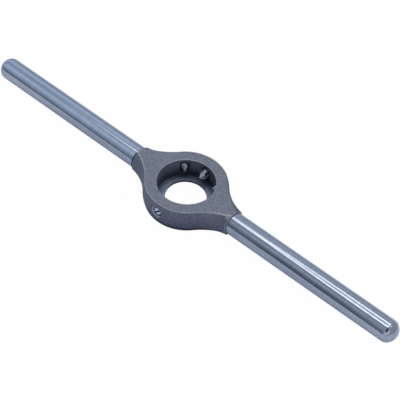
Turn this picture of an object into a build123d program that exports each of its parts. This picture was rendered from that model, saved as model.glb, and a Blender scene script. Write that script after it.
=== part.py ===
from build123d import *
import math
import os

# Two-handed die stock: a cast ring that holds a round die, with a screwed-in bar on each side.
# Millimetres. X runs along the bars, Z is up, and the origin is the bottom centre of the ring.

# Die that the stock is made for
die_diameter = 25.0
die_thickness = 9.0
die_clearance = 0.05

# Ring and its seat
ring_wall = 5.8
floor_thickness = 2.2
rim_chamfer = 0.3
guide_diameter = 17.7
guide_land = 1.0
edge_chamfer = 0.3

# Bosses that carry the handles
boss_length = 8.05
boss_crown = 0.12
boss_chamfer = 0.3
blend_radius = 20.5

# Handles: bar, domed end and the stud that screws into the boss
bar_diameter = 9.9
bar_length = 84.3
dome_length = 4.3
dome_shoulder_radius = 3.55
shoulder_chamfer = 0.25
stud_diameter = 6.0
stud_length = 9.0
stud_chamfer = 0.5
stud_clearance = 0.05
stud_spare_depth = 1.0

# Set screws with a cone point and a slotted end
screw_diameter = 4.0
screw_clearance = 0.04
cone_angle = 90.0
cone_flat_diameter = 0.4
screw_end_chamfer = 0.35
slot_width = 0.7
slot_depth = 1.3
countersink_diameter = 5.3

# Each screw: bearing from +X, length, how far its point stands into the seat, turn of its slot
set_screws = {
    "clamp_screw_right": (45.0, 6.0, 1.45, 20.0),
    "spreading_screw": (90.0, 8.0, 4.0, 65.0),
    "clamp_screw_left": (135.0, 6.0, 2.4, -35.0),
    "lock_screw": (-90.0, 6.0, 0.75, -9.0),
}

# Sizes that follow from the driving dimensions
seat_radius = die_diameter / 2 + die_clearance
ring_radius = seat_radius + ring_wall
body_height = floor_thickness + die_thickness
mid_height = body_height / 2
guide_radius = guide_diameter / 2
boss_face_x = ring_radius + boss_length
boss_radius = mid_height + boss_crown
bar_radius = bar_diameter / 2
stud_radius = stud_diameter / 2
stud_bore_radius = stud_radius + stud_clearance
screw_radius = screw_diameter / 2
screw_bore_radius = screw_radius + screw_clearance
screw_height = floor_thickness + die_thickness / 2
wall_radius = math.sqrt(ring_radius**2 - (screw_height - mid_height) ** 2)


def blend_arc():
    """Concave arc from the boss to the ball: its start, its middle and the point where it touches."""
    start = Vector(boss_face_x - boss_chamfer, boss_radius)
    touch_radius = ring_radius + blend_radius
    along = (touch_radius**2 - blend_radius**2 + start.length**2) / (2 * start.length)
    across = math.sqrt(touch_radius**2 - along**2)
    direction = start.normalized()
    centre = direction * along + Vector(-direction.Y, direction.X) * across
    touch = centre * (ring_radius / centre.length)
    middle = centre + ((start + touch) / 2 - centre).normalized() * blend_radius
    return start, middle, touch


def turned_form():
    """Body as if turned about the bar axis: two round bosses that flow into a ball."""
    start, middle, touch = blend_arc()
    half_angle = math.atan2(touch.X, touch.Y) / 2
    ball_middle = Vector(math.sin(half_angle), math.cos(half_angle)) * ring_radius
    outline = [
        Line((0, 0), (boss_face_x, 0)),
        Line((boss_face_x, 0), (boss_face_x, boss_radius - boss_chamfer)),
        Line((boss_face_x, boss_radius - boss_chamfer), start),
        ThreePointArc(start, middle, touch),
        ThreePointArc(touch, ball_middle, (0, ring_radius)),
        Line((0, ring_radius), (0, 0)),
    ]
    half = make_face(outline)
    return Pos(Z=mid_height) * revolve(half + mirror(half, Plane.YZ), Axis.X)


def body_blank():
    """Turned form faced flat on top and underneath, with the outline of the top face chamfered."""
    slab = Box(
        3 * boss_face_x,
        3 * ring_radius,
        body_height,
        align=(Align.CENTER, Align.CENTER, Align.MIN),
    )
    blank = slab & turned_form()
    top_edges = [
        edge
        for edge in blank.faces().sort_by(Axis.Z)[-1].edges()
        if abs(edge.center().X) < boss_face_x - 2 * boss_chamfer
    ]
    return chamfer(top_edges, edge_chamfer)


def seat_cut():
    """Die seat, guide hole and the countersink under it, as one turned cutter about Z."""
    underside = guide_radius + floor_thickness - guide_land
    outline = Polyline(
        (0, -1.0),
        (underside + 1.0, -1.0),
        (guide_radius, floor_thickness - guide_land),
        (guide_radius, floor_thickness),
        (seat_radius, floor_thickness),
        (seat_radius, body_height - rim_chamfer),
        (seat_radius + rim_chamfer + 1.0, body_height + 1.0),
        (0, body_height + 1.0),
        close=True,
    )
    return revolve(Plane.XZ * make_face(outline), Axis.Z)


def screw_axis(bearing, radius):
    """Place at that radius on a screw's axis, with local Z pointing outwards."""
    turn = Rot(Z=bearing)
    return turn * Pos(radius, 0, screw_height) * Rot(Y=90)


def screw_hole_cut(bearing):
    """Tapped hole through the wall with a countersink in the outer face."""
    hole_start = (seat_radius + guide_radius) / 2
    hole_length = ring_radius + 1.0 - hole_start
    hole = Cylinder(screw_bore_radius, hole_length, align=(Align.CENTER, Align.CENTER, Align.MIN))
    sink_radius = countersink_diameter / 2
    sink_depth = sink_radius - screw_bore_radius
    sink = Cone(
        screw_bore_radius,
        sink_radius + 1.0,
        sink_depth + 1.0,
        align=(Align.CENTER, Align.CENTER, Align.MIN),
    )
    sink_start = wall_radius - sink_depth
    return screw_axis(bearing, hole_start) * hole + screw_axis(bearing, sink_start) * sink


def stud_hole_cut(side):
    """Blind tapped hole in a boss face for the handle's stud."""
    depth = stud_length + stud_spare_depth
    hole = Cylinder(stud_bore_radius, depth, align=(Align.CENTER, Align.CENTER, Align.MAX))
    return Pos(side * boss_face_x, 0, mid_height) * Rot(Y=90 * side) * hole


def holder_body():
    """Finished body."""
    body = body_blank() - seat_cut()
    for bearing, _, _, _ in set_screws.values():
        body -= screw_hole_cut(bearing)
    for side in (-1, 1):
        body -= stud_hole_cut(side)
    return body


def handle(side):
    """Bar with its stud, turned about X: stud, face against the boss, plain bar and two-radius dome."""
    bar_end_x = boss_face_x + bar_length
    dome_start_x = bar_end_x - dome_length
    stud_end_x = boss_face_x - stud_length
    turned_edge = Polyline(
        (bar_end_x, 0),
        (stud_end_x, 0),
        (stud_end_x, stud_radius - stud_chamfer),
        (stud_end_x + stud_chamfer, stud_radius),
        (boss_face_x, stud_radius),
        (boss_face_x, bar_radius - shoulder_chamfer),
        (boss_face_x + shoulder_chamfer, bar_radius),
        (dome_start_x, bar_radius),
    )
    crown_radius = (dome_length**2 + bar_radius**2 - 2 * bar_radius * dome_shoulder_radius) / (
        2 * (dome_length - dome_shoulder_radius)
    )
    shoulder_y = bar_radius - dome_shoulder_radius
    join_angle = math.degrees(math.atan2(shoulder_y, crown_radius - dome_length))
    shoulder = CenterArc((dome_start_x, shoulder_y), dome_shoulder_radius, join_angle, 90 - join_angle)
    crown = CenterArc((bar_end_x - crown_radius, 0), crown_radius, 0, join_angle)
    bar = revolve(make_face(turned_edge.edges() + shoulder.edges() + crown.edges()), Axis.X)
    if side < 0:
        bar = mirror(bar, Plane.YZ)
    return Pos(Z=mid_height) * bar


def set_screw(bearing, length, reach, slot_turn):
    """Set screw along its hole: truncated cone point inwards, slotted end outwards."""
    flat_radius = cone_flat_diameter / 2
    cone_length = (screw_radius - flat_radius) / math.tan(math.radians(cone_angle / 2))
    outline = Polyline(
        (0, 0),
        (flat_radius, 0),
        (screw_radius, cone_length),
        (screw_radius, length - screw_end_chamfer),
        (screw_radius - screw_end_chamfer, length),
        (0, length),
        close=True,
    )
    shank = revolve(Plane.XZ * make_face(outline), Axis.Z)
    slot = Pos(Z=length) * Rot(Z=90 + slot_turn) * Box(
        screw_diameter + 1.0,
        slot_width,
        2 * slot_depth,
    )
    return screw_axis(bearing, seat_radius - reach) * (shank - slot)


nodes = {
    "holder_body": holder_body(),
    "handle_left": handle(-1),
    "handle_right": handle(1),
}
for name, (bearing, length, reach, slot_turn) in set_screws.items():
    nodes[name] = set_screw(bearing, length, reach, slot_turn)

os.makedirs("parts", exist_ok=True)
for name, shape in nodes.items():
    export_step(shape, f"parts/{name}.step")
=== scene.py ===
# %% [markdown]
# A die stock handle is the holder in which a round threading die is turned by hand.
# It has a ring with a flat seat for the die, two plain steel bars to turn it by, and
# four slotted set screws through the ring's wall: three that set the die's width and
# one that locks it. Its ring and bars are finished solids already, so this lesson only
# dresses them, models the screws with real threads, and builds the small photo studio.

# %% Load the frame
import bpy
import bmesh
from math import cos, hypot, pi, radians, sin
from mathutils import Matrix


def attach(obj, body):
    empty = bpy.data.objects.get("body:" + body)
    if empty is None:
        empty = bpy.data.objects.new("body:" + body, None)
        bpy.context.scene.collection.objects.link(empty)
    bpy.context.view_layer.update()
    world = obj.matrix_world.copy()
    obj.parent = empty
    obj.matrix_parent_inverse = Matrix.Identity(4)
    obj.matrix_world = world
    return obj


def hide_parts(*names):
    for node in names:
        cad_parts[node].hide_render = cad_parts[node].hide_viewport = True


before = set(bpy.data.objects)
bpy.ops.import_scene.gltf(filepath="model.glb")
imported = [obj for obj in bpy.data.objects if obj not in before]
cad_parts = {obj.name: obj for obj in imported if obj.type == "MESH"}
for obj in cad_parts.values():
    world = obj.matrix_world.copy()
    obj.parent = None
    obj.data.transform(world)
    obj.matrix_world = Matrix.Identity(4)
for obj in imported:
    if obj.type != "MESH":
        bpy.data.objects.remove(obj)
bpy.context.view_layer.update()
MM = 0.001

# %% [markdown]
# The camera stands in front of the right bar and well above it, and looks down at about
# 48 degrees through a long lens. A long lens keeps the sides of the bars nearly parallel,
# as a product picture does. Its place could be guessed by eye, but a bar that is off by
# one degree already misses the picture's edge, so the place and the three angles were
# settled by laying the drawn outline of the ring and bars over the picture's.

# %% Camera
camera = bpy.data.objects.new("camera", bpy.data.cameras.new("camera"))
bpy.context.collection.objects.link(camera)
camera.location = (0.26857, -0.32253, 0.46754)
camera.rotation_euler = (radians(41.859), radians(-2.485), radians(41.716))
camera.data.sensor_width = 36
camera.data.lens = 133.45
camera.data.clip_start = 0.01
bpy.context.scene.camera = camera
bpy.context.scene.view_settings.view_transform = "Standard"
print("camera lens:", round(camera.data.lens, 1), "mm")

# %% [markdown]
# Every finish in this lesson is a small graph of nodes, which could be wired by hand in
# the shader editor. Here a few helpers do it, because the same steps come again and again:
# one makes a node and wires its inputs, and the others name the steps that repeat. An
# input is given by its socket's name, or by its number, as in _0, where names are shared.

# %% Node helpers
def node(tree, kind, settings=None, **inputs):
    made = tree.nodes.new(kind)
    for name, value in (settings or {}).items():
        setattr(made, name, value)
    for name, value in inputs.items():
        numbered = name[1:].isdigit()
        socket = made.inputs[int(name[1:]) if numbered else name.replace("_", " ")]
        if isinstance(value, bpy.types.NodeSocket):
            tree.links.new(value, socket)
        else:
            socket.default_value = value
    return made


def maths(tree, operation, first, second=0.0):
    made = node(tree, "ShaderNodeMath", {"operation": operation}, _0=first, _1=second)
    return made.outputs[0]


def vectors(tree, operation, first, second=(0, 0, 0)):
    made = node(tree, "ShaderNodeVectorMath", {"operation": operation}, _0=first, _1=second)
    return made.outputs


def measure(tree, operation, first, second=(0, 0, 0)):
    return vectors(tree, operation, first, second)["Value"]


def ramp(tree, value, stops):
    made = node(tree, "ShaderNodeValToRGB", Fac=value)
    elements = made.color_ramp.elements
    while len(elements) < len(stops):
        elements.new(0.5)
    for element, (position, colour) in zip(elements, stops):
        element.position = position
        element.color = opaque(colour)
    return made.outputs["Color"]


def opaque(colour):
    return (*colour, 1) if isinstance(colour, tuple) else colour


def blend(tree, factor, first, second, kind="MIX"):
    made = node(tree, "ShaderNodeMix", {"data_type": "RGBA", "blend_type": kind},
                _0=factor, _6=opaque(first), _7=opaque(second))
    return made.outputs[2]


# %% [markdown]
# A mask is a number from 0 to 1 that says where a finish lies, such as on an edge or in a
# hole. It could be painted on the surface, but most masks here are one measure, a height
# or a distance, turned into a soft step, which stays sharp at any size. Masks that are
# multiplied with each other leave only the places that lie in all of them.

# %% Masks
def between(tree, value, low, high, at_low=0.0, at_high=1.0):
    made = node(tree, "ShaderNodeMapRange", {"interpolation_type": "SMOOTHSTEP"}, Value=value,
                From_Min=low, From_Max=high, To_Min=at_low, To_Max=at_high)
    return made.outputs[0]


def below(tree, value, low, high):
    return between(tree, value, low, high, 1, 0)


def all_of(tree, *masks):
    together = masks[0]
    for mask in masks[1:]:
        together = maths(tree, "MULTIPLY", together, mask)
    return together


def band(tree, value, rise, fall):
    return all_of(tree, between(tree, value, *rise), below(tree, value, *fall))


# %% [markdown]
# Polished bars are mirrors that are curved one way only, so each shows the room as bands
# along its length, and those bands are what the eye reads as steel. Lamp objects could
# make them, but a room that is painted on the world costs nothing, casts no hard shadow
# and can be set band by band. It is painted round the bars' own axis: 0 degrees is the
# horizon behind the ring, 90 is straight up, and 180 is the horizon behind the camera.
# How far a mirrored ray points along the bars, its side, is lowest at the left bar's tip
# and grows towards the right bar's. The right bar faces a room with a dark side, and the
# left bar a softer one.

# %% Room walls
world = bpy.data.worlds.new("room")
world.use_nodes = True
bpy.context.scene.world = world
room = world.node_tree
room.nodes.clear()
ray = node(room, "ShaderNodeTexCoord").outputs["Generated"]
ray_axes = node(room, "ShaderNodeSeparateXYZ", Vector=ray).outputs
ray_side = ray_axes["X"]
half_turns = maths(room, "DIVIDE", maths(room, "ARCTAN2", ray_axes["Z"], ray_axes["Y"]), pi)
degrees_up = maths(room, "MULTIPLY", half_turns, 180)
BETWEEN_BARS = (-0.47, -0.42)
COOLER = (-0.010, 0.0, 0.022)


def wall(tint, levels):
    stops = []
    for degrees, level in levels:
        colour = tuple(level * part + shift for part, shift in zip(tint, COOLER))
        stops.append((degrees / 180, colour))
    return ramp(room, half_turns, stops)


right_wall = wall((0.88, 0.98, 1.13), [
    (0, 0.46), (18, 0.50), (33, 0.60), (48, 0.55), (58, 0.52),
    (66, 0.78), (99, 0.78), (106, 0.40), (115, 0.40), (125, 0.54),
    (134, 0.53), (143, 0.34), (152, 0.20), (164, 0.175), (176, 0.12),
])
left_wall = wall((0.84, 0.98, 1.18), [
    (0, 0.46), (18, 0.49), (33, 0.64), (44, 0.80), (53, 0.82), (62, 0.74),
    (72, 0.58), (85, 0.49), (95, 0.55), (106, 0.72), (116, 0.84), (127, 0.78),
    (143, 0.59), (156, 0.45), (166, 0.33), (176, 0.20),
])
room_colour = blend(room, below(room, ray_side, *BETWEEN_BARS), right_wall, left_wall)
print("two walls painted round the bars' axis")

# %% [markdown]
# The dark side of the room isn't even: the right bar shows it lighter near the ring and
# lighter still near its tip than in the middle. The domed tip turns away from the lamps
# and shows the end of the room instead, with one dark doorway in it. These are small, but
# a tip with nothing to mirror looks like plastic.

# %% Dark side and end wall
RIGHT_BAR_MIDDLE = -0.335
LIGHTER_NEAR_RING = (1.4, 1.4, 1.35)
LIGHTER_NEAR_TIP = (2.0, 2.0, 1.9)
END_WALL_FAR_SIDE = (0.41, 0.43, 0.55)
DOORWAY_DARK = (0.055, 0.06, 0.08)

off_middle = maths(room, "ABSOLUTE", maths(room, "SUBTRACT", ray_side, RIGHT_BAR_MIDDLE))
lighter = all_of(room, between(room, off_middle, 0.02, 0.07), between(room, degrees_up, 140, 151),
                 between(room, ray_side, -0.44, -0.40))
near_tip = between(room, ray_side, -0.33, -0.27)
how_much = blend(room, near_tip, LIGHTER_NEAR_RING, LIGHTER_NEAR_TIP)
room_colour = blend(room, lighter, room_colour, how_much, "MULTIPLY")
end_wall = wall((0.90, 0.98, 1.05), [(0, 0.45), (95, 0.46), (120, 0.68), (165, 0.86), (176, 0.64)])
end_wall = blend(room, between(room, ray_side, 0.80, 0.95), end_wall, END_WALL_FAR_SIDE)
doorway = all_of(room, band(room, ray_side, (0.02, 0.12), (0.46, 0.58)),
                 band(room, degrees_up, (103, 110), (144, 157)))
end_wall = blend(room, doorway, end_wall, DOORWAY_DARK)
room_colour = blend(room, between(room, ray_side, -0.02, 0.10), room_colour, end_wall)
print("dark side, end wall and doorway painted")

# %% [markdown]
# Two long strip lamps hang overhead, and a short one joins them at their far end. They
# give the double white line on the right bar, which closes to a loop at the tip. Near
# the ring they run together into one line, and over the left bar they taper to a thread.
# Past their end hangs one small lamp, for the glint on the dome.

# %% Strip lamps
LAMP_LIGHT = (2.3, 2.3, 2.25)
CROSS_STRIP_MIDDLE = 80
SMALL_LAMP_MIDDLE = 74


def off_line(centre_line):
    return maths(room, "ABSOLUTE", maths(room, "SUBTRACT", degrees_up, centre_line))


lower_line = between(room, ray_side, -0.41, -0.30, 85, 64)
upper_line = between(room, ray_side, -0.47, -0.29, 82, 96.5)
off_strips = maths(room, "MINIMUM", off_line(lower_line), off_line(upper_line))
half_width = between(room, ray_side, -0.46, -0.41, 2.5, 5.4)
long_strips = below(room, maths(room, "SUBTRACT", off_strips, half_width), -1.0, 1.5)
cross_strip = all_of(room, below(room, off_line(CROSS_STRIP_MIDDLE), 16, 20),
                     between(room, ray_side, -0.10, -0.06))
strips = maths(room, "MAXIMUM", long_strips, cross_strip)
fade_to_left = between(room, ray_side, -0.51, -0.45, 0, 0.85)
gain_at_tip = between(room, ray_side, -0.38, -0.27, 0, 0.20)
brightness = maths(room, "ADD", fade_to_left, gain_at_tip)
strips = all_of(room, strips, brightness, below(room, ray_side, 0.10, 0.14))
small_lamp = all_of(room, below(room, off_line(SMALL_LAMP_MIDDLE), 6, 10),
                    between(room, ray_side, 0.34, 0.38), between(room, ray_side, 0.50, 0.54, 0.6, 0))
room_colour = blend(room, maths(room, "MAXIMUM", strips, small_lamp), room_colour, LAMP_LIGHT)
print("strip lamps painted overhead")

# %% [markdown]
# The picture's background is plain white. A stronger light would make it so, and would
# bleach the iron as well, so the world shows plain white to the camera alone, and keeps
# the painted room for everything that the object mirrors.

# %% White behind
WHITE = (1, 1, 1, 1)
room_light = node(room, "ShaderNodeBackground", Color=room_colour, Strength=1).outputs[0]
white_behind = node(room, "ShaderNodeBackground", Color=WHITE, Strength=1).outputs[0]
seen_directly = node(room, "ShaderNodeLightPath").outputs["Is Camera Ray"]
either = node(room, "ShaderNodeMixShader", _0=seen_directly, _1=room_light, _2=white_behind)
node(room, "ShaderNodeOutputWorld", Surface=either.outputs[0])
print("world nodes:", len(room.nodes))

# %% [markdown]
# The object lies on a white sheet. A floor that is only lit turns grey, and more light
# would burn out the bars, so the sheet glows by itself where the camera looks at it, and
# stays a matt surface for the light that falls on the object from below. Near the ring
# that matt surface is painted darker, as painted shade of the object. The bars mirror
# it as a pale band along their undersides, brightest under their ends, and further out
# it is darker.

# %% Floor
FLOOR_REACH = 3
SHEET_SHADED_NEAR_RING = (0.74, 0.78, 0.88)
SHEET_UNDER_BAR_ENDS = (0.94, 0.97, 1.0)
SHEET_FURTHER_OUT = (0.3, 0.32, 0.38)
GLOW_SHARES = {"Is Camera Ray": 0.985, "Is Glossy Ray": 0.12, "Is Transmission Ray": 0.985}


def as_object(name, shape):
    mesh = bpy.data.meshes.new(name)
    shape.to_mesh(mesh)
    shape.free()
    made = bpy.data.objects.new(name, mesh)
    bpy.context.collection.objects.link(made)
    return made


def finish(name):
    material = bpy.data.materials.new(name)
    material.use_nodes = True
    material.node_tree.nodes.clear()
    return material, material.node_tree


square = bmesh.new()
bmesh.ops.create_grid(square, x_segments=1, y_segments=1, size=FLOOR_REACH)
floor = as_object("floor", square)
floor_paint, sheet = finish("floor_paint")
from_ring = measure(sheet, "LENGTH", node(sheet, "ShaderNodeTexCoord").outputs["Object"])
to_bar_ends = between(sheet, from_ring, 0.06, 0.11)
# Painted shade: the sheet is darker near the ring, as the object's shade on it.
floor_colour = blend(sheet, to_bar_ends, SHEET_SHADED_NEAR_RING, SHEET_UNDER_BAR_ENDS)
further_out = between(sheet, from_ring, 0.14, 0.36)
floor_colour = blend(sheet, further_out, floor_colour, SHEET_FURTHER_OUT)
matt = node(sheet, "ShaderNodeBsdfDiffuse", Color=floor_colour).outputs[0]
glowing = node(sheet, "ShaderNodeEmission", Color=WHITE, Strength=1).outputs[0]
path = node(sheet, "ShaderNodeLightPath").outputs
glow_share = 0
for kind_of_ray, share in GLOW_SHARES.items():
    glow_share = maths(sheet, "ADD", maths(sheet, "MULTIPLY", path[kind_of_ray], share), glow_share)
lit = node(sheet, "ShaderNodeMixShader", _0=glow_share, _1=matt, _2=glowing).outputs[0]
node(sheet, "ShaderNodeOutputMaterial", Surface=lit)
floor.data.materials.append(floor_paint)
print("floor is", round(floor.dimensions.x, 1), "m wide")

# %% [markdown]
# A metal's finish is a colour, a roughness and a relief, each varied by noise. An image
# could vary them, but noise has no edge and no end, and is cut to any size. A noise mostly
# stays between 0.3 and 0.7, so contrast spreads that part of it between two chosen levels.
# Stretched along one axis, the same noise makes lines along it.

# %% Finish helpers
def grain(tree, coordinates, scale, detail, stretch=(1, 1, 1)):
    mapped = node(tree, "ShaderNodeMapping", Vector=coordinates, Scale=stretch).outputs[0]
    noise = node(tree, "ShaderNodeTexNoise", Vector=mapped, Scale=scale, Detail=detail)
    return noise.outputs["Fac"]


def contrast(tree, noise, low, high):
    return between(tree, noise, 0.3, 0.7, low, high)


def tinted(tree, colour, factor, shade):
    return blend(tree, factor, colour, shade, "MULTIPLY")


def grey(tree, value):
    made = node(tree, "ShaderNodeCombineColor", Red=value, Green=value, Blue=value)
    return made.outputs[0]


def metal_surface(tree, colour, roughness, relief, depth, metallic):
    bump = node(tree, "ShaderNodeBump", Height=relief, Strength=1, Distance=depth)
    made = node(tree, "ShaderNodeBsdfPrincipled", Metallic=metallic, Base_Color=colour,
                Roughness=roughness, Normal=bump.outputs[0])
    node(tree, "ShaderNodeOutputMaterial", Surface=made.outputs[0])


# %% [markdown]
# The ring is an iron casting, faced and bored, then blackened, which leaves a satin grey
# with a fine grain. A flat grey would look moulded, so the grain is three noises: large
# blotches, pores and a fine tooth. Shade is painted on its flanks: they are bluer and
# darker towards the floor, and the far ones are darker still. All of it reads the ring's
# own coordinates in metres, so it stays with the ring and keeps its real scale. The masks
# need a few of the ring's sizes, which are those of the solids.

# %% Ring sizes
TOP_HEIGHT = 11.2 * MM
FLOOR_HEIGHT = 2.2 * MM
SEAT_RADIUS = 12.55 * MM
GUIDE_RADIUS = 8.85 * MM
EDGE_BREAK = 0.3 * MM
BOSS_FACE = 26.4 * MM
print("seat is", round(2 * SEAT_RADIUS / MM, 1), "mm across")
print("seat is", round((TOP_HEIGHT - FLOOR_HEIGHT) / MM, 1), "mm deep")

# %% Cast grain and painted flank shade
IRON_TONES = [(0.3, (0.206, 0.213, 0.248)), (0.7, (0.246, 0.254, 0.294))]
FLANK_FOOT_SHADE = (0.475, 0.49, 0.64)
FLANK_TOP_SHADE = (0.76, 0.77, 0.81)
FAR_FLANK_SHADE = (0.64, 0.67, 0.62)


def cast_grain_and_flank_shade(tree, height, y, in_seat, pores, fine, blotches):
    colour = ramp(tree, blotches, IRON_TONES)
    # Painted shade: the flanks darken and turn bluer towards the floor, and the far flanks are darker
    # still.
    below_top = below(tree, height, TOP_HEIGHT - 1.1 * EDGE_BREAK, TOP_HEIGHT - 0.9 * EDGE_BREAK)
    on_flank = all_of(tree, below_top, maths(tree, "SUBTRACT", 1.0, in_seat))
    upwards = between(tree, height, 0.0, TOP_HEIGHT - EDGE_BREAK)
    colour = tinted(tree, colour, on_flank, blend(tree, upwards, FLANK_FOOT_SHADE, FLANK_TOP_SHADE))
    on_far_flank = all_of(tree, on_flank, between(tree, y, -3 * MM, 1 * MM))
    colour = tinted(tree, colour, on_far_flank, FAR_FLANK_SHADE)
    mottle = all_of(tree, contrast(tree, pores, 0.76, 1.22), contrast(tree, fine, 0.88, 1.12))
    return tinted(tree, colour, 1.0, grey(tree, mottle))


# %% [markdown]
# The broken edges carry a bright line that is both wear, where handling took the black
# off, and a painted highlight. It is strongest along the front and round the seat, where
# dies go in and out. Beside the right bar a rough patch was ground by hand, and it shows
# warmer and brighter, and the rim of that boss is bare as well. The line could be painted
# on, but a mask on height and radius follows the edges by itself, and thinned by the pores
# it gives a bright line that is uneven, as it is on a real tool.

# %% Worn edges
BARE_HIGHLIT_EDGE = (0.42, 0.43, 0.47)
BARE_HIGHLIT_RIM = (0.72, 0.74, 0.79)


def worn_and_highlit_edges(tree, height, y, from_middle, pores):
    # The bright edge line is wear and a painted highlight, strongest along the front.
    edge_foot = (TOP_HEIGHT - 1.25 * EDGE_BREAK, TOP_HEIGHT - 0.85 * EDGE_BREAK)
    edge_top = (TOP_HEIGHT - 0.15 * EDGE_BREAK, TOP_HEIGHT - 0.02 * EDGE_BREAK)
    on_edge = band(tree, height, edge_foot, edge_top)
    thinned = between(tree, pores, 0.25, 0.55, 0.55, 1)
    at_rim = below(tree, from_middle, SEAT_RADIUS + 1.5 * EDGE_BREAK, SEAT_RADIUS + 2 * EDGE_BREAK)
    at_front = between(tree, y, -4 * MM, 0, 1, 0.15)
    wear_and_highlight = all_of(tree, on_edge, thinned, maths(tree, "MAXIMUM", at_rim, at_front))
    return wear_and_highlight, blend(tree, at_rim, BARE_HIGHLIT_EDGE, BARE_HIGHLIT_RIM)


# %% Ground by hand
GROUND_SPOT = (25.6 * MM, -2.4 * MM, 10.6 * MM)
GROUND_IRON = (0.42, 0.385, 0.43)
FACED_BOSS_EDGE = (0.46, 0.47, 0.50)


def ground_by_hand(tree, colour, place, x, fine):
    at_boss_edge = between(tree, x, BOSS_FACE - 0.40 * MM, BOSS_FACE - 0.28 * MM, 0, 0.35)
    colour = blend(tree, at_boss_edge, colour, FACED_BOSS_EDGE)
    in_patch = below(tree, measure(tree, "DISTANCE", place, GROUND_SPOT), 0.9 * MM, 1.9 * MM)
    scratches = between(tree, fine, 0.35, 0.6, 0.15, 1)
    return blend(tree, all_of(tree, in_patch, scratches), colour, GROUND_IRON)


# %% [markdown]
# Each screw hole is countersunk, and the cut cone is bare metal, with painted light that
# makes it brightest on its lower left and fades it up and to the right. The cones could be
# picked out by hand, face by face, but a mask finds all four in a loop. It needs the
# distance from a screw's axis, which a cross product with the axis's direction gives at once.

# %% Screw holes
SCREW_HEIGHT = 6.7 * MM
SCREW_BEARINGS = (45, 90, 135, -90)
CONE_INNER_EDGE = (2.15 * MM, 2.30 * MM)
CONE_OUTER_EDGE = (2.60 * MM, 2.70 * MM)
OUTER_WALL = (16.5 * MM, 17.0 * MM)
BARE_CONE_LIT = (0.46, 0.49, 0.56)


def pointing(bearing):
    return (cos(radians(bearing)), sin(radians(bearing)), 0)


def about_screw(tree, place, bearing):
    lifted = vectors(tree, "SUBTRACT", place, (0, 0, SCREW_HEIGHT))["Vector"]
    across = vectors(tree, "CROSS_PRODUCT", lifted, pointing(bearing))["Vector"]
    from_axis = measure(tree, "LENGTH", across)
    outwards = measure(tree, "DOT_PRODUCT", place, pointing(bearing))
    return from_axis, outwards


def countersinks(tree, colour, place, x, height):
    # Painted light: each cone is bright on its lower left and fades up and to the right.
    up_and_right = maths(tree, "ADD", height, x)
    painted_light_low_left = between(tree, up_and_right, SCREW_HEIGHT - 0.5 * MM, SCREW_HEIGHT + 1.0 * MM, 1, 0.15)
    for bearing in SCREW_BEARINGS:
        from_axis, outwards = about_screw(tree, place, bearing)
        on_cone = all_of(tree, band(tree, from_axis, CONE_INNER_EDGE, CONE_OUTER_EDGE),
                         between(tree, outwards, *OUTER_WALL), painted_light_low_left)
        colour = blend(tree, on_cone, colour, BARE_CONE_LIT)
    return colour


# %% [markdown]
# The seat is turned. Its wall is painted with shade, the darkest of the ring and darker
# still at its foot, because it only sees itself, and painted light makes it a little
# lighter on the left. The wall of the guide hole under the floor is painted nearly black
# as shade. The floor has faint rings about the middle, which catch the light in two
# opposite fans, as on any turned face. Real grooves that fine would need a huge mesh, and
# real fans a special shader, so the rings are a sine of the distance from the middle, and
# the fans a painted highlight, a mask on direction. Painted shade darkens the floor
# towards the wall. That mask reads the height and not the seat, so the foot of the ring's
# outside, which sits low over the sheet, darkens too.

# %% Seat wall
WALL_FOOT_SHADE = (0.045, 0.050, 0.072)
WALL_TOP_SHADE = (0.115, 0.125, 0.165)
WALL_LEFT_PAINTED_LIGHT = 1.45


def seat_wall_shade(tree, colour, height, x, in_seat):
    # Painted shade: the wall is dark, darkest at its foot, and painted light makes its left lighter.
    foot = (FLOOR_HEIGHT, FLOOR_HEIGHT + 0.3 * MM)
    top = (TOP_HEIGHT - 1.1 * EDGE_BREAK, TOP_HEIGHT - EDGE_BREAK)
    on_wall = all_of(tree, in_seat, band(tree, height, foot, top))
    upwards = between(tree, height, FLOOR_HEIGHT, 9.5 * MM)
    colour = blend(tree, on_wall, colour, blend(tree, upwards, WALL_FOOT_SHADE, WALL_TOP_SHADE))
    lighter_to_the_left = between(tree, x, -11 * MM, -5 * MM, WALL_LEFT_PAINTED_LIGHT, 1)
    return tinted(tree, colour, on_wall, grey(tree, lighter_to_the_left))


# %% Seat floor
GUIDE_WALL_SHADE = (0.010, 0.012, 0.018)
TURNED_TINT = (0.90, 1.0, 1.12)
TURNING_FEED = 0.62 * MM
FAN_BEARING = 28
FAN_EDGE = (0.45, 0.80)
FAN_GAIN = (1.05, 1.55)
STREAK_STRENGTH = 0.14
STREAK_RELIEF = 1.2


def light_fans(tree, place, from_middle):
    along_fan = measure(tree, "DOT_PRODUCT", place, pointing(FAN_BEARING))
    direction = maths(tree, "DIVIDE", along_fan, from_middle)
    both_ways = maths(tree, "MULTIPLY", direction, direction)
    return between(tree, both_ways, *FAN_EDGE, *FAN_GAIN)


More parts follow.
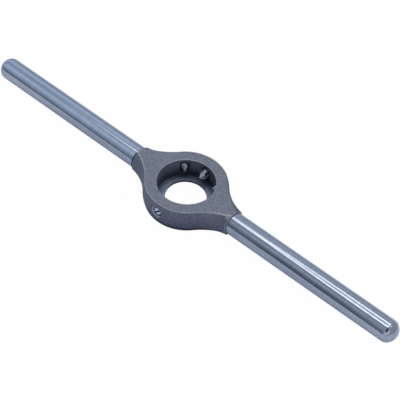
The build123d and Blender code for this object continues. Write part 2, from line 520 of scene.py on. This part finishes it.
def seat_floor(tree, colour, place, height, from_middle, in_seat):
    # Painted shade: the guide hole's wall under the floor is nearly black.
    in_guide = below(tree, from_middle, GUIDE_RADIUS + 0.05 * MM, GUIDE_RADIUS + 0.15 * MM)
    under_floor = below(tree, height, FLOOR_HEIGHT - 0.1 * MM, FLOOR_HEIGHT - 0.02 * MM)
    colour = blend(tree, all_of(tree, in_guide, under_floor), colour, GUIDE_WALL_SHADE)
    # Painted shade: the floor darkens towards the wall.
    low_down = below(tree, height, FLOOR_HEIGHT + 0.02 * MM, FLOOR_HEIGHT + 0.2 * MM)
    shade_towards_wall = between(tree, from_middle, 9.0 * MM, SEAT_RADIUS, 1.08, 0.42)
    colour = tinted(tree, colour, low_down, grey(tree, shade_towards_wall))
    tool_marks = maths(tree, "SINE", maths(tree, "MULTIPLY", from_middle, 2 * pi / TURNING_FEED))
    streaks = maths(tree, "ADD", 1.0, all_of(tree, tool_marks, STREAK_STRENGTH))
    streaked_fans = all_of(tree, light_fans(tree, place, from_middle), streaks)
    on_floor = all_of(tree, low_down, in_seat)
    colour = tinted(tree, colour, on_floor, grey(tree, streaked_fans))
    colour = tinted(tree, colour, on_floor, TURNED_TINT)
    return colour, all_of(tree, tool_marks, STREAK_RELIEF, low_down)


# %% [markdown]
# The parts of the ring's finish are now laid over each other: the cast grain and the
# painted flank shade first, then the worn and highlit edges and the ground patch, the
# seat's wall with its painted shade, the countersinks and the turned floor. They could be
# several materials on several faces, but the changes run across faces, so it is one. It is
# only half metallic, for blackened iron scatters more light than it mirrors, and its worn,
# highlit edges are less so, which keeps them light from every side.

# %% Ring finish
GRAIN_SCALES = (330, 1500, 3200)
IRON_ROUGHNESS = (0.42, 0.52)
IRON_RELIEF = 0.012 * MM
PORE_RELIEF = 2.5
IRON_METALLIC = 0.55
LESS_ON_WORN_HIGHLIT_EDGES = 0.40


def ring_finish():
    material, tree = finish("blackened_iron")
    place = node(tree, "ShaderNodeTexCoord").outputs["Object"]
    axes = node(tree, "ShaderNodeSeparateXYZ", Vector=place).outputs
    x, y, height = axes["X"], axes["Y"], axes["Z"]
    from_middle = measure(tree, "LENGTH", node(tree, "ShaderNodeCombineXYZ", X=x, Y=y).outputs[0])
    in_seat = below(tree, from_middle, SEAT_RADIUS + 0.05 * MM, SEAT_RADIUS + 0.15 * MM)
    blotches, pores, fine = (grain(tree, place, scale, 3) for scale in GRAIN_SCALES)
    colour = cast_grain_and_flank_shade(tree, height, y, in_seat, pores, fine, blotches)
    wear_and_highlight, bare_and_highlit = worn_and_highlit_edges(tree, height, y, from_middle, pores)
    colour = blend(tree, wear_and_highlight, colour, bare_and_highlit)
    colour = ground_by_hand(tree, colour, place, x, fine)
    colour = seat_wall_shade(tree, colour, height, x, in_seat)
    colour = countersinks(tree, colour, place, x, height)
    colour, tool_marks = seat_floor(tree, colour, place, height, from_middle, in_seat)
    cast_relief = maths(tree, "ADD", fine, maths(tree, "MULTIPLY", pores, PORE_RELIEF))
    relief = maths(tree, "ADD", cast_relief, tool_marks)
    # The worn edges with their painted highlight are less metallic.
    less_metallic = maths(tree, "MULTIPLY", wear_and_highlight, LESS_ON_WORN_HIGHLIT_EDGES)
    metallic = maths(tree, "SUBTRACT", IRON_METALLIC, less_metallic)
    roughness = contrast(tree, blotches, *IRON_ROUGHNESS)
    metal_surface(tree, colour, roughness, relief, IRON_RELIEF, metallic)
    print("blackened_iron has", len(tree.nodes), "nodes")
    return material


# %% [markdown]
# The bars are turned and polished steel. Polishing leaves hair lines along the bar, and
# the turning under it leaves marks across, and both break the lamps' lines a little. One
# noise that is stretched along the bar and one that is stretched across it are enough.
# A thin black line of painted shadow lies in the joint in front of the left boss.

# %% Bar finish
STEEL_TONES = [(0.3, (0.41, 0.44, 0.51)), (0.7, (0.46, 0.49, 0.565))]
STEEL_ROUGHNESS = (0.09, 0.125)
STEEL_RELIEF = 0.002 * MM
HAIR_LINE_RELIEF = 0.4
DRAWN_ALONG_BAR = (0.03, 1, 1)
DRAWN_ACROSS_BAR = (1, 0.06, 0.06)
JOINT_SHADOW = (0.03, 0.033, 0.045)


def bar_finish():
    material, tree = finish("polished_steel")
    place = node(tree, "ShaderNodeTexCoord").outputs["Object"]
    axes = node(tree, "ShaderNodeSeparateXYZ", Vector=place).outputs
    along, y = axes["X"], axes["Y"]
    cross_marks = grain(tree, place, 2600, 2, DRAWN_ACROSS_BAR)
    hair_lines = grain(tree, place, 1500, 2, DRAWN_ALONG_BAR)
    blotches = grain(tree, place, 120, 2)
    colour = ramp(tree, hair_lines, STEEL_TONES)
    colour = tinted(tree, colour, 1.0, grey(tree, contrast(tree, cross_marks, 0.90, 1.08)))
    # Painted shadow: a thin black line in the joint in front of the left boss.
    at_joint = (-BOSS_FACE - 0.90 * MM, -BOSS_FACE - 0.60 * MM)
    ring_middle = (-1 * MM, 1 * MM)
    in_front = below(tree, y, -2.2 * MM, -1.0 * MM)
    joint_shadow = all_of(tree, band(tree, along, at_joint, ring_middle), in_front)
    colour = blend(tree, joint_shadow, colour, JOINT_SHADOW)
    relief = maths(tree, "ADD", cross_marks, maths(tree, "MULTIPLY", hair_lines, HAIR_LINE_RELIEF))
    roughness = contrast(tree, blotches, *STEEL_ROUGHNESS)
    metal_surface(tree, colour, roughness, relief, STEEL_RELIEF, 1.0)
    print("polished_steel has", len(tree.nodes), "nodes")
    return material


# %% [markdown]
# The solids come in as loose triangles, each with its own corners. Their meshes are never
# changed, but modifiers may work on them: Weld joins the corners that meet, and Weighted
# Normal then lets the large faces win, so flats stay flat and rounds look round.

# %% Dress the solids
SAME_CORNER = 0.002 * MM


def dress(node_name, material):
    dressed = bpy.data.objects[node_name]
    dressed.data.materials.clear()
    dressed.data.materials.append(material)
    weld = dressed.modifiers.new("join_facets", "WELD")
    weld.merge_threshold = SAME_CORNER
    smooth = dressed.modifiers.new("soft_shading", "WEIGHTED_NORMAL")
    smooth.keep_sharp = True
    print(node_name, "is dressed in", material.name)


polished_steel = bar_finish()
dress("holder_body", ring_finish())
dress("handle_left", polished_steel)
dress("handle_right", polished_steel)

# %% [markdown]
# The set screws are headless: a threaded rod with a slot in one end and a cone point at
# the other. A thread could be faked with rings or a bump, but one groove that climbs as
# it turns is as easy: a V profile of one pitch is spun about the axis and pushed along it
# at the same time, as the real one is cut. A few spare turns are made, so that both ends
# can be cut flat, and the point and the broken end are tapered by pulling in every corner
# that stands too far out.

# %% Thread
PITCH = 0.7 * MM
CREST = 1.98 * MM
ROOT = 1.58 * MM
TOOTH = [(ROOT, 0), (ROOT, 0.14), (CREST, 0.5), (CREST, 0.62), (ROOT, 1)]
STEPS_PER_TURN = 36
SPARE_TURNS = 3
POINT_FLAT = 0.2 * MM
END_BREAK = 0.35 * MM


def long_thread(turns):
    rod = bmesh.new()
    corners = [rod.verts.new((radius, 0, along * PITCH)) for radius, along in TOOTH]
    edges = [rod.edges.new(pair) for pair in zip(corners, corners[1:])]
    bmesh.ops.spin(rod, geom=corners + edges, cent=(0, 0, 0), axis=(0, 0, 1),
                   dvec=(0, 0, PITCH / STEPS_PER_TURN), angle=2 * pi * turns,
                   steps=STEPS_PER_TURN * turns, use_duplicate=False)
    bmesh.ops.remove_doubles(rod, verts=rod.verts, dist=SAME_CORNER)
    return rod


def threaded_rod(length):
    rod = long_thread(int(length / PITCH) + SPARE_TURNS)
    start = SPARE_TURNS * PITCH / 2
    for level, side in ((start, -1), (start + length, 1)):
        bmesh.ops.bisect_plane(rod, geom=rod.verts[:] + rod.edges[:] + rod.faces[:],
                               plane_co=(0, 0, level), plane_no=(0, 0, side), clear_outer=True)
    bmesh.ops.translate(rod, verts=rod.verts, vec=(0, 0, -start))
    for corner in rod.verts:
        reach = hypot(corner.co.x, corner.co.y)
        limit = min(POINT_FLAT + corner.co.z, CREST - END_BREAK + (length - corner.co.z))
        if reach > limit:
            corner.co.x *= limit / reach
            corner.co.y *= limit / reach
    bmesh.ops.holes_fill(rod, edges=[edge for edge in rod.edges if edge.is_boundary], sides=0)
    bmesh.ops.recalc_face_normals(rod, faces=rod.faces)
    return rod


# %% [markdown]
# A screw that is never taken out is bright where it is touched and dirty where it isn't.
# Its grooves and the ring round its slotted end hold old oil, one side of its shank is
# darkened with painted shade, and the cone point is rubbed by the die. One could put the
# same steel on all four, but each screw has its own material, because the masks need its
# own axis, and because the screws aren't equally dirty. The lower half of the ring round
# a slotted end is darker, as painted shade, and on the cone of the left clamp screw there
# is one smudge.

# %% Screw finish
SCREW_TONES = [(0.35, (0.52, 0.56, 0.64)), (0.65, (0.82, 0.86, 0.92))]
SCREW_ROUGHNESS = 0.24
SCREW_RELIEF = 0.006 * MM
OLD_OIL_AND_SHADE = (0.025, 0.030, 0.045)
SMUDGE = (-8.3 * MM, 7.75 * MM, 7.85 * MM)
CONE_LENGTH = 1.8 * MM


def shank_grime_and_shade(tree, place, bearing, from_axis, in_grooves):
    in_groove = between(tree, from_axis, ROOT + 0.05 * MM, CREST - 0.05 * MM, in_grooves, 0)
    # Painted shade: one side of the shank is darker.
    shaded_side = measure(tree, "DOT_PRODUCT", place, pointing(bearing - 90))
    return maths(tree, "ADD", in_groove, between(tree, shaded_side, 0.3 * MM, 1.3 * MM, 0, 0.55))


def end_grime_and_shade(tree, place, from_axis):
    height = node(tree, "ShaderNodeSeparateXYZ", Vector=place).outputs["Z"]
    # Painted shade: the ring round the slotted end is darker in its lower half.
    lower_half_shade = between(tree, height, SCREW_HEIGHT - 0.4 * MM, SCREW_HEIGHT + 0.6 * MM, 1, 0.2)
    return all_of(tree, between(tree, from_axis, 1.40 * MM, 1.60 * MM, 0, 0.7), lower_half_shade)


def screw_finish(name, bearing, tip, length, in_grooves, on_cone):
    material, tree = finish(name + "_steel")
    place = node(tree, "ShaderNodeTexCoord").outputs["Object"]
    from_axis, outwards = about_screw(tree, place, bearing)
    along = maths(tree, "SUBTRACT", outwards, tip)
    past_cone = between(tree, along, CONE_LENGTH - 0.1 * MM, CONE_LENGTH + 0.1 * MM)
    on_shank = shank_grime_and_shade(tree, place, bearing, from_axis, in_grooves)
    grime_and_shade = blend(tree, past_cone, (on_cone, on_cone, on_cone), on_shank)
    at_end = between(tree, along, length - 0.45 * MM, length - 0.35 * MM)
    grime_and_shade = blend(tree, at_end, grime_and_shade, end_grime_and_shade(tree, place, from_axis))
    from_smudge = measure(tree, "DISTANCE", place, SMUDGE)
    grime_and_shade = maths(tree, "MAXIMUM", grime_and_shade, between(tree, from_smudge, 0.30 * MM, 0.60 * MM, 0.78, 0))
    smuts = grain(tree, place, 1400, 3)
    colour = blend(tree, grime_and_shade, ramp(tree, smuts, SCREW_TONES), OLD_OIL_AND_SHADE)
    metal_surface(tree, colour, SCREW_ROUGHNESS, smuts, SCREW_RELIEF, 1.0)
    print(material.name, "has", len(tree.nodes), "nodes")
    return material


# %% [markdown]
# The slot is the one cut that operators on an open edge can't make cleanly through a
# thread, so a box is taken out of the rod with a Boolean, and the result is kept as the
# screw's mesh. The screw is then turned and pushed into its hole, with that move in the
# mesh, so the object itself stays at the origin and its finish stays on its coordinates.

# %% Slot and place
SLOT_SIZE = (6 * MM, 0.7 * MM, 2.6 * MM)


def slot_cutter(length, turn):
    box = bmesh.new()
    bmesh.ops.create_cube(box, size=1)
    bmesh.ops.scale(box, verts=box.verts, vec=SLOT_SIZE)
    bmesh.ops.translate(box, verts=box.verts, vec=(0, 0, length))
    bmesh.ops.transform(box, matrix=turn, verts=box.verts)
    return box


def slotted(rod, cutter):
    cut = rod.modifiers.new("slot", "BOOLEAN")
    cut.operation = "DIFFERENCE"
    cut.solver = "EXACT"
    cut.object = cutter
    solved = rod.evaluated_get(bpy.context.evaluated_depsgraph_get())
    cut_mesh = bpy.data.meshes.new_from_object(solved)
    rod.modifiers.clear()
    bpy.data.objects.remove(cutter)
    return cut_mesh


def set_screw(name, bearing, tip, length, slot_turn, material):
    turn = Matrix.Rotation(radians(90 + slot_turn), 4, "Z")
    rod = threaded_rod(length)
    bmesh.ops.transform(rod, matrix=turn, verts=rod.verts)
    screw = as_object(name, rod)
    finished = slotted(screw, as_object(name + "_cutter", slot_cutter(length, turn)))
    outward = Matrix.Rotation(radians(bearing), 4, "Z") @ Matrix.Rotation(radians(90), 4, "Y")
    lifted = Matrix.Translation((0, 0, SCREW_HEIGHT))
    finished.transform(lifted @ outward @ Matrix.Translation((0, 0, tip)))
    finished.name = name + "_mesh"
    finished.materials.clear()
    finished.materials.append(material)
    screw.data = finished
    print(name, "has", len(finished.polygons), "faces")
    return screw


# %% [markdown]
# Four screws stand in the wall. They could be four copies of one, but they differ in
# length and reach. Each row gives a screw's bearing, in degrees round from the right bar,
# its length and how far its point stands into the seat, in millimetres, as in the solids,
# then the turn of its slot, in degrees, and how much oil its grooves and its cone hold.

# %% Set screws
SET_SCREWS = [
    ("clamp_screw_right", 45, 6, 1.45, 20, 0.6, 0.0),
    ("spreading_screw", 90, 8, 4.0, 65, 0.3, 0.25),
    ("clamp_screw_left", 135, 6, 2.4, -35, 1.0, 0.5),
    ("lock_screw", -90, 6, 0.75, 46, 0.6, 0.0),
]
for name, bearing, length, reach, slot_turn, in_grooves, on_cone in SET_SCREWS:
    tip = SEAT_RADIUS - reach * MM
    screw_steel = screw_finish(name, bearing, tip, length * MM, in_grooves, on_cone)
    screw = set_screw(name + "_thread", bearing, tip, length * MM, slot_turn, screw_steel)
    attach(screw, name)
    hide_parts(name)
